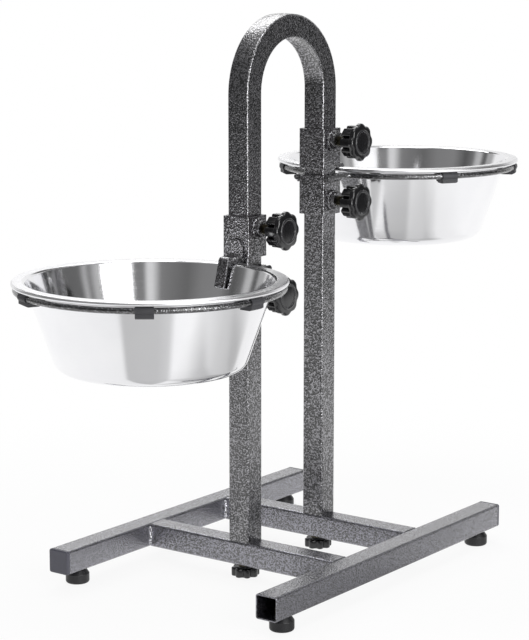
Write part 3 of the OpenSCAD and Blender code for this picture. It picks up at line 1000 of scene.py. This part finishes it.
@dataclass
class Collar:
    """One sliding sleeve on a post, with the hole for its clamp stud."""

    end: End
    level: Level
    body: str
    wall: float = 2.5
    corner: float = 2
    edge: float = 0.7

    def build(self) -> Extent:
        """Builds the sleeve.

        Returns:
            The box of the collar.
        """
        name = f"{self.end.value}_{self.level.value}"
        box, stud = Extent.of(f"{name}_collar"), Extent.of(f"{name}_stud")
        half = box.size.x / 2
        shape = sleeve_shape(box.size.x, self.wall, self.corner, box.size.z, self.edge)
        mouths = [(shape.face_at(0, x), at(x, 0, stud.middle.z - box.low.z) @ Z_TO_X)
                  for x in (half, half - self.wall)]
        shape.drill(stud.size.y / 2 + STUD_PLAY_MM, *mouths)
        even_shading(shape.piece(f"{name}_sleeve", self.body, DARK_ENAMEL, "dark_hammer_paint",
                                 f"{name}_collar", place=at(*box.foot)))
        return box


@dataclass
class Holder:
    """The lower collar on one post, with its wire ring, welds and clips."""

    end: End
    weld_radius: float = 2.6
    weld_ripple: float = 3.2
    weld_inset: float = 1.1

    def build(self) -> None:
        """Builds the collar and the ring's welds, and dresses the wire and the clips."""
        name = self.end.value
        body = f"{name}_holder"
        Collar(self.end, Level.LOWER, body).build()
        dress(f"{name}_ring", WIRE_ENAMEL)
        dress(f"{name}_ring_clips", CLIP_PLASTIC)
        welds = Extent.of(f"{name}_ring_welds")
        runs = Shape()
        bead = bead_shape(welds.size.y, self.weld_radius, self.weld_ripple)
        lay = Matrix.Rotation(math.pi / 2, 4, "X")
        for x in (welds.low.x + self.weld_inset, welds.high.x - self.weld_inset):
            runs.join(bead, at(x, welds.middle.y, welds.high.z - self.weld_radius) @ lay)
        bead.bm.free()
        runs.piece(f"{name}_ring_runs", body, DARK_ENAMEL, "dark_hammer_paint",
                   f"{name}_ring_welds")


@dataclass
class Retainer:
    """The upper collar on one post, with the bent tongue that keeps the bowl in."""

    end: End
    strip: float = 3
    plate_w: float = 21
    plate_h: float = 20
    plate_cuts: int = 18
    plate_top: float = 1.5
    tongue_w: float = 12
    bend: float = 3.5
    lean: float = 0.37
    tip_up: float = 0.5
    edge: float = 0.6
    edge_angle: float = math.radians(50)

    def build(self) -> None:
        """Builds the collar and the tongue."""
        self.build_tongue(Collar(self.end, Level.UPPER, f"{self.end.value}_retainer").build())

    def build_tongue(self, collar: Extent) -> None:
        """Bends the strip: a round-topped plate on the collar, then over the rim and down.

        Args:
            collar: Box of the upper collar.
        """
        name = self.end.value
        box = Extent.of(f"{name}_tongue")
        half = self.strip / 2
        plate_u = collar.size.y / 2 + half
        tip_u = max(abs(box.low.y - collar.middle.y), abs(box.high.y - collar.middle.y)) - half
        shelf_z = collar.low.z + half
        lean = (tip_u - plate_u - self.bend) * self.lean
        shape = Shape()
        shape.wire([(plate_u, collar.low.z + self.plate_h), (plate_u, shelf_z),
                    (tip_u - lean, shelf_z), (tip_u, box.low.z + self.tip_up)],
                   {1: self.bend, 2: self.bend}, 6)
        top = max(shape.bm.edges, key=lambda e: min(v.co.z for v in e.verts))
        bmesh.ops.subdivide_edges(shape.bm, edges=[top], cuts=self.plate_cuts)
        ribbon = bmesh.ops.extrude_edge_only(shape.bm, edges=shape.bm.edges[:])["geom"]
        far = {g for g in ribbon if isinstance(g, BMVert)}
        for v in shape.bm.verts:
            width = self.width_at(v.co.x, v.co.z, plate_u, tip_u - lean - self.bend, collar.low.z)
            v.co = Vector(((width if v in far else -width) / 2, -v.co.x, v.co.z))
        bmesh.ops.recalc_face_normals(shape.bm, faces=shape.bm.faces[:])
        piece = shape.piece(f"{name}_strip", f"{name}_retainer", DARK_ENAMEL, "dark_hammer_paint",
                            f"{name}_tongue",
                            place=at(collar.middle.x, collar.middle.y, 0) @ self.end.facing)
        thicken(piece, self.strip)
        edge = piece.modifiers.new("edges", "BEVEL")
        edge.width, edge.segments, edge.angle_limit = self.edge * MM, 2, self.edge_angle
        even_shading(piece)

    def width_at(self, u: float, z: float, plate_u: float, taper_end: float,
                 bottom: float) -> float:
        """The strip's width at a place on its run.

        Args:
            u: Distance from the post's axis.
            z: Height.
            plate_u: Distance of the plate.
            taper_end: Distance where the taper ends.
            bottom: Height of the collar's lower edge.

        Returns:
            The width there.
        """
        if u > plate_u + MERGE_MM:
            share = min(1, (u - plate_u) / (taper_end - plate_u))
            return self.plate_w + (self.tongue_w - self.plate_w) * share
        radius = self.plate_w / 2
        over = max(0, z - (bottom + self.plate_h - radius))
        return 2 * math.sqrt(max(self.plate_top, radius ** 2 - over ** 2))


@dataclass
class Clamp:
    """One clamp screw: weld nut, stud, pressure pad, star knob and its cap."""

    end: End
    level: Level
    pitch: float = 1.5
    grip: float = 3
    nut_chamfer: float = 2.6
    weld_radius: float = 1.7
    weld_ring: float = 9.3
    weld_up: float = 0.9
    hub_radius: float = 9
    hub_length: float = 0.6
    disc: float = 5.5
    face_edge: float = 2.6
    lobe_depth: float = 1.7
    cap_lip: float = 3.0
    cap_slope: float = 0.6
    cap_dish: float = 1.1
    cap_edges: tuple[float, float, float] = (1.4, 0.9, 0.5)

    def build(self) -> None:
        """Builds the nut, the stud, the knob and its cap, and dresses the pad."""
        name = f"{self.end.value}_{self.level.value}"
        body = f"{name}_knob"
        self.build_nut(name)
        stud, nut, box, cap = (Extent.of(f"{name}_{n}") for n in ("stud", "nut", "knob", "cap"))
        bolt = Stud(stud.size.y, self.pitch, stud.size.x, nut.middle.x - stud.low.x,
                    box.low.x + self.grip - stud.low.x).shape()
        axis = at(0, stud.middle.y, stud.middle.z)
        bolt.piece(f"{name}_bolt", body, YELLOW_ZINC, "zinc_plate", f"{name}_stud",
                   place=axis @ at(stud.low.x, 0, 0) @ Z_TO_X)
        knob = StarKnob(box.size.y / 2, box.size.x - self.hub_length, self.disc, self.hub_radius,
                        self.hub_length, self.face_edge, self.lobe_depth, fingers=True).shape()
        knob.piece(f"{name}_star", body, KNOB_PLASTIC, "black_plastic", f"{name}_knob",
                   place=axis @ at(box.low.x + self.hub_length, 0, 0) @ Z_TO_X)
        self.cap_shape(cap.size.y / 2, cap.size.x).piece(
            f"{name}_button", body, CAP_PLASTIC, "black_plastic", f"{name}_cap",
            place=axis @ at(cap.low.x, 0, 0) @ Z_TO_X)
        dress(f"{name}_pad", NATURAL_NYLON)

    def cap_shape(self, radius: float, height: float) -> Shape:
        """Draws the cap that closes the knob: a shallow dish inside a round lip.

        Args:
            radius: Radius of the cap.
            height: Its height.

        Returns:
            The closed shape, on Z from zero up.
        """
        cap = Shape()
        inside = radius - self.cap_lip
        dish = height - self.cap_dish
        cap.wire([(0, 0), (radius, 0), (radius, height), (inside + self.cap_slope, height),
                  (inside, dish), (0, dish)], dict(zip((2, 3, 4), self.cap_edges)), 5)
        return cap.lathe(72)

    def build_nut(self, name: str) -> None:
        """Builds the hexagon nut and the weld that runs round its foot.

        Args:
            name: Name of the clamp.
        """
        rider = f"{self.end.value}_{'holder' if self.level is Level.LOWER else 'retainer'}"
        box = Extent.of(f"{name}_nut")
        height, radius = box.size.x, box.size.z / 2
        nut = Shape()
        bmesh.ops.create_cone(nut.bm, cap_ends=True, segments=6, radius1=radius, radius2=radius,
                              depth=height)
        nut.move(0, 0, height / 2)
        nut.round_corners([v for v in nut.bm.verts if v.co.z > height / 2], self.nut_chamfer, 2)
        mouths = [(nut.face_at(2, z), at(0, 0, z)) for z in (0, height)]
        nut.drill(Extent.of(f"{name}_stud").size.y / 2 + STUD_PLAY_MM, *mouths)
        weld = Shape()
        bmesh.ops.create_circle(weld.bm, cap_ends=False, segments=12, radius=self.weld_radius,
                                matrix=at(self.weld_ring, 0, self.weld_up)
                                @ Matrix.Rotation(math.pi / 2, 4, "X"))
        weld.lathe(96)
        for v in weld.bm.verts:
            angle = math.atan2(v.co.y, v.co.x)
            # Two waves that don't fall together, as a hand lays a bead
            swell = 1 + 0.2 * math.sin(9 * angle) + 0.14 * math.sin(14 * angle + 1)
            ring = Vector((math.cos(angle), math.sin(angle), 0)) * self.weld_ring
            v.co = ring + (v.co - ring) * swell
        nut.join(weld, Matrix())
        nut.piece(f"{name}_hexagon", rider, DARK_ENAMEL, "zinc_plate", f"{name}_nut",
                  place=at(box.low.x, box.middle.y, box.middle.z) @ Z_TO_X)


@dataclass
class Bowl:
    """One drawn bowl with a flat rim and a rolled edge."""

    end: End
    wall: float = 0.9
    flange: float = 12.5
    roll: float = 4.4
    bottom_d: float = 180
    corner: float = 14
    flange_bend: float = 2.5
    roll_turn: float = math.radians(300)
    roll_steps: int = 20
    long_edge: float = 20
    long_cuts: int = 7
    satin_in: float = 1.0
    steps: int = 192

    def build(self) -> None:
        """Spins the sheet's middle line and gives it its thickness."""
        name = f"{self.end.value}_bowl"
        box = Extent.of(name)
        rim, depth, middle = box.size.x / 2, box.size.z, box.middle
        half = self.wall / 2
        top = rim - self.flange
        taper = (top - self.bottom_d / 2) / depth
        roll_x = rim - self.roll / 2
        shape = Shape()
        ends = shape.wire(
            [(0, half - depth), (top - taper * (depth - half), half - depth),
             (top - taper * half, -half), (roll_x, -half)],
            {1: self.corner, 2: self.flange_bend}, 12)
        bmesh.ops.spin(shape.bm, geom=[ends[1]], cent=(roll_x, 0, -self.roll / 2), axis=(0, 1, 0),
                       angle=self.roll_turn, steps=self.roll_steps, space=Matrix(),
                       dvec=(0, 0, 0))
        bmesh.ops.subdivide_edges(
            shape.bm, edges=[e for e in shape.bm.edges if e.calc_length() > self.long_edge],
            cuts=self.long_cuts)
        shape.lathe(self.steps)
        finish = PolishedStainless(f"polished_stainless_{self.end.value}", (middle.x, middle.y),
                                   top + self.satin_in)
        thicken(shape.piece(f"{name}_shell", name, finish, "polished_steel", name,
                            place=at(middle.x, middle.y, box.high.z)), self.wall)


@dataclass
class Studio:
    """White floor and surroundings, soft lamps, and the camera."""

    azimuth: float = 36.3
    elevation: float = 10.25
    distance: float = 2.20457
    aim_side: float = -0.01933
    aim_height: float = 0.26203
    lens: float = 118.92
    sensor: float = 36
    floor_radius: float = 2.6
    floor_drop: float = 0.0005
    floor_shadow: float = 0.10
    shadow_reach: tuple = (0.35, 0.8)
    sheen_reach: tuple = (1.4, 2.3)
    bowl_reach: tuple = (0.52, 0.64)
    ambient: float = 0.55
    foot_level: float = 0.1
    lamp_aim: float = 0.3
    # Where a zone of the surroundings starts and ends, by the sine of its height, and its levels
    high_zone: tuple = (0.72, 0.86, 0.0, 1.0)
    low_zone: tuple = (-0.08, 0.06, 0.0, 1.0)
    dark_zone: tuple = (0.34, 0.46, 0.0, 0.78)
    ceiling: tuple = (0.8, 0.95, 0.9, 0.5)
    # Levels of light round the stand, from the camera's side: degrees to its right, level
    front_floor: tuple = (
        (-180, 1.0), (-60, 0.94), (-29, 0.9), (-24, 0.55), (10, 0.58), (22, 0.66), (28, 1.0),
        (44, 1.0), (60, 0.84), (80, 0.66), (110, 0.55), (117, 0.6), (123, 1.0), (180, 1.0))
    rear_floor: tuple = (
        (-180, 1.0), (-21, 0.95), (-16, 0.66), (8, 0.72), (13, 1.0), (32, 1.0), (40, 0.88),
        (110, 0.94), (180, 1.0))
    walls: tuple = (
        (-180, 0.9), (-140, 0.9), (-133, 0.4), (-125, 0.38), (-121, 0.1), (-117, 0.12),
        (-112, 0.5), (-106, 0.45), (-101, 0.16), (-90, 0.09), (-74, 0.22), (-52, 0.2), (-36, 0.13),
        (-8, 0.2), (1, 0.68), (6, 0.68), (10, 0.2), (20, 0.16), (23, 1.0), (50, 1.0), (54, 0.26),
        (61, 0.45), (68, 0.18), (73, 0.45), (79, 0.13), (116, 0.13), (132, 0.9), (180, 0.9))
    backdrop: tuple = (
        (-180, 1.0), (-138, 1.0), (-122, 0.0), (122, 0.0), (138, 1.0), (180, 1.0))
    lamps: tuple = (
        # name, angle round Z, height angle, distance, width, height, watts
        ("back_panel", 140.0, 49.0, 2.4, 1.3, 1.2, 18.0),
        ("top_panel", 300.0, 78.0, 1.7, 0.9, 0.9, 8.0),
        ("low_strip", 346.0, -1.5, 1.8, 1.7, 0.3, 6.0),
        ("right_box", 340.0, 15.5, 1.95, 0.95, 1.2, 15.0),
    )

    @property
    def turn(self) -> float:
        """The turn about Z that brings the camera's side to +X."""
        return math.radians(90 - self.azimuth)

    def build(self) -> None:
        """Sets up everything round the stand."""
        self.build_floor()
        self.build_world()
        for lamp in self.lamps:
            self.hang_lamp(*lamp)
        self.set_camera()
        bpy.context.scene.view_settings.view_transform = "Standard"

    def build_floor(self) -> None:
        """Lays a white floor that keeps the stand's shadow and shows white in the metal."""
        shape = Shape()
        bmesh.ops.create_circle(shape.bm, cap_ends=True, segments=96, radius=self.floor_radius)
        mesh = bpy.data.meshes.new("floor")
        shape.bm.to_mesh(mesh)
        shape.bm.free()
        floor = bpy.data.objects.new("floor", mesh)
        floor.location.z = -self.floor_drop
        bpy.context.scene.collection.objects.link(floor)
        material = bpy.data.materials.new("white_floor")
        add = empty_nodes(material)
        seen, glossy = self.rays(add)
        coords = add("TexCoord", out="Object")
        away = add("VectorMath", {0: coords}, "Value", operation="LENGTH")
        kept = add("MapRange", {
            "Value": away, "From Min": self.shadow_reach[0], "From Max": self.shadow_reach[1],
            "To Min": 1 - self.floor_shadow, "To Max": 1.0}, interpolation_type="SMOOTHSTEP")
        shown = add("Math", {0: seen, 1: kept}, operation="MULTIPLY")
        share = add("Math", {0: shown, 1: glossy}, operation="MAXIMUM")
        paint = add("BsdfDiffuse", {"Color": (0.85, 0.85, 0.85, 1)})
        level = add("Mix", {0: glossy, 2: 1.0, 3: self.sheen_of_floor(add, coords)})
        glow = add("Emission", {"Color": (1, 1, 1, 1), "Strength": level})
        mixed = add("MixShader", {0: share, 1: paint, 2: glow})
        add("OutputMaterial", {"Surface": mixed})
        mesh.materials.append(material)

    def rays(self, add: Adder) -> tuple[NodeSocket, NodeSocket]:
        """Tells rays apart by what they show.

        Args:
            add: Adds a node to the tree.

        Returns:
            1 for a ray that the eye sees, straight or through glass, and 1 for a reflected ray.
        """
        path = add("LightPath").node.outputs
        seen = add("Math", {0: path["Is Camera Ray"], 1: path["Is Transmission Ray"]},
                   operation="MAXIMUM")
        return seen, path["Is Glossy Ray"]

    def bearing(self, add: Adder, vector: NodeSocket,
                move: Sequence[float] = (0, 0, 0)) -> tuple[NodeSocket, NodeSocket]:
        """Turns a place or direction so that it counts from the camera's side.

        Args:
            add: Adds a node to the tree.
            vector: The place or direction.
            move: A move after the turn.

        Returns:
            The turned vector, and its angle round Z.
        """
        turned = add("Mapping", {"Vector": vector, "Location": move, "Rotation": (0, 0, self.turn)})
        parts = add("SeparateXYZ", {0: turned}).node.outputs
        return turned, add("Math", {0: parts["Y"], 1: parts["X"]}, operation="ARCTAN2")

    def ramp(self, add: Adder, angle: NodeSocket,
             stops: Sequence[tuple[float, float]]) -> NodeSocket:
        """Turns an angle round Z into a level of light.

        Args:
            add: Adds a node to the tree.
            angle: The angle from the camera's side, in radians, from minus to plus half a turn.
            stops: Angles in degrees, positive to the camera's right, each with its level.

        Returns:
            The level.
        """
        share = add("MapRange", {"Value": angle, "From Min": -math.pi, "From Max": math.pi})
        lookup = add("ValToRGB", {"Fac": share})
        elements = lookup.node.color_ramp.elements
        for degrees, level in stops[1:-1]:
            elements.new(degrees / 360 + 0.5).color = (level, level, level, 1)
        for i in (0, -1):
            elements[i].color = (stops[i][1],) * 3 + (1,)
        return lookup

    def sheen_of_floor(self, add: Adder, coords: NodeSocket) -> NodeSocket:
        """The floor as the steel shows it: a greyer patch before each bowl, and darker far off.

        Args:
            add: Adds a node to the floor.
            coords: The place on the floor.

        Returns:
            The level of light.
        """
        away = add("VectorMath", {0: coords}, "Value", operation="LENGTH")
        sheen = add("MapRange", {
            "Value": away, "From Min": self.sheen_reach[0], "From Max": self.sheen_reach[1],
            "To Min": 1.0, "To Max": 0.1}, interpolation_type="SMOOTHSTEP")
        behind = self.ramp(add, self.bearing(add, coords)[1], self.backdrop)
        sheen = add("Math", {0: sheen, 1: behind}, operation="MAXIMUM")
        turn = Matrix.Rotation(self.turn, 3, "Z")
        for end, stops in ((End.FRONT, self.front_floor), (End.REAR, self.rear_floor)):
            bowl = turn @ (Extent.of(f"{end.value}_bowl").middle * MM)
            local, angle = self.bearing(add, coords, (-bowl.x, -bowl.y, 0))
            reach = add("VectorMath", {0: local}, "Value", operation="LENGTH")
            near = add("MapRange", {
                "Value": reach, "From Min": self.bowl_reach[0], "From Max": self.bowl_reach[1],
                "To Min": 1.0, "To Max": 0.0})
            band = add("Mix", {0: near, 2: 1.0, 3: self.ramp(add, angle, stops)})
            sheen = add("Math", {0: sheen, 1: band}, operation="MULTIPLY")
        return sheen

    def build_world(self) -> None:
        """Makes the surroundings white to the eye and uneven in reflections, as a studio is."""
        world = bpy.data.worlds.new("studio")
        bpy.context.scene.world = world
        add = empty_nodes(world)
        turned, angle = self.bearing(add, add("TexCoord", out="Generated"))
        height = add("SeparateXYZ", {0: turned}, "Z")
        high, low, dark, ceiling = (
            add("MapRange", {
                "Value": height, "From Min": start, "From Max": end, "To Min": before,
                "To Max": after}, interpolation_type="SMOOTHSTEP")
            for start, end, before, after in (
                self.high_zone, self.low_zone, self.dark_zone, self.ceiling))
        behind = self.ramp(add, angle, self.backdrop)
        loss = add("Math", {0: behind, 1: dark}, operation="MULTIPLY")
        wall = add("Math", {0: self.ramp(add, angle, self.walls), 1: loss}, operation="SUBTRACT",
                   use_clamp=True)
        foot = add("Math", {0: behind, 1: self.foot_level}, operation="MAXIMUM")
        seen, glossy = self.rays(add)
        sides = add("Mix", {0: high, 2: wall, 3: ceiling})
        room = add("Mix", {0: low, 2: foot, 3: sides})
        soft = add("Mix", {0: glossy, 2: self.ambient, 3: room})
        level = add("Mix", {0: seen, 2: soft, 3: 1.0})
        glow = add("Background", {"Color": (1, 1, 1, 1), "Strength": level})
        add("OutputWorld", {"Surface": glow})

    def hang_lamp(self, name: str, angle: float, height: float, distance: float, width: float,
                  tall: float, watts: float) -> None:
        """Hangs one soft box, turned towards the stand.

        Args:
            name: Name of the lamp.
            angle: Direction round Z, in degrees from +X.
            height: Angle above the floor, in degrees.
            distance: Distance from the middle of the stand.
            width: Width of the box.
            tall: Height of the box.
            watts: Power.
        """
        data = bpy.data.lights.new(name, "AREA")
        data.shape, data.size, data.size_y, data.energy = "RECTANGLE", width, tall, watts
        lamp = bpy.data.objects.new(name, data)
        bpy.context.scene.collection.objects.link(lamp)
        a, h = math.radians(angle), math.radians(height)
        away = Vector((math.cos(a) * math.cos(h), math.sin(a) * math.cos(h), math.sin(h)))
        lamp.location = Vector((0, 0, self.lamp_aim)) + away * distance
        lamp.rotation_euler = away.to_track_quat("Z", "Y").to_euler()
        lamp.visible_camera = False

    def set_camera(self) -> None:
        """Puts the camera at the photograph's viewing angle."""
        a, e = math.radians(self.azimuth), math.radians(self.elevation)
        right = Vector((math.cos(a), math.sin(a), 0))
        look = Vector((-math.sin(a) * math.cos(e), math.cos(a) * math.cos(e), -math.sin(e)))
        data = bpy.data.cameras.new("view")
        data.lens, data.sensor_width, data.sensor_fit = self.lens, self.sensor, "AUTO"
        camera = bpy.data.objects.new("view", data)
        bpy.context.scene.collection.objects.link(camera)
        aim = right * self.aim_side + Vector((0, 0, self.aim_height))
        camera.location = aim - look * self.distance
        camera.rotation_euler = look.to_track_quat("-Z", "Y").to_euler()
        bpy.context.scene.camera = camera


def main() -> None:
    """Builds the stand from the floor up, then the studio."""
    logging.basicConfig(level=logging.INFO, format="%(message)s")
    BaseFrame().build()
    for end in End:
        for side in Side:
            ScrewFoot(end, side).build()
    Hoop().build()
    for end in End:
        BaseScrew(end).build()
        Holder(end).build()
        Retainer(end).build()
        for level in Level:
            Clamp(end, level).build()
        Bowl(end).build()
    Studio().build()


if __name__ == "__main__":
    main()
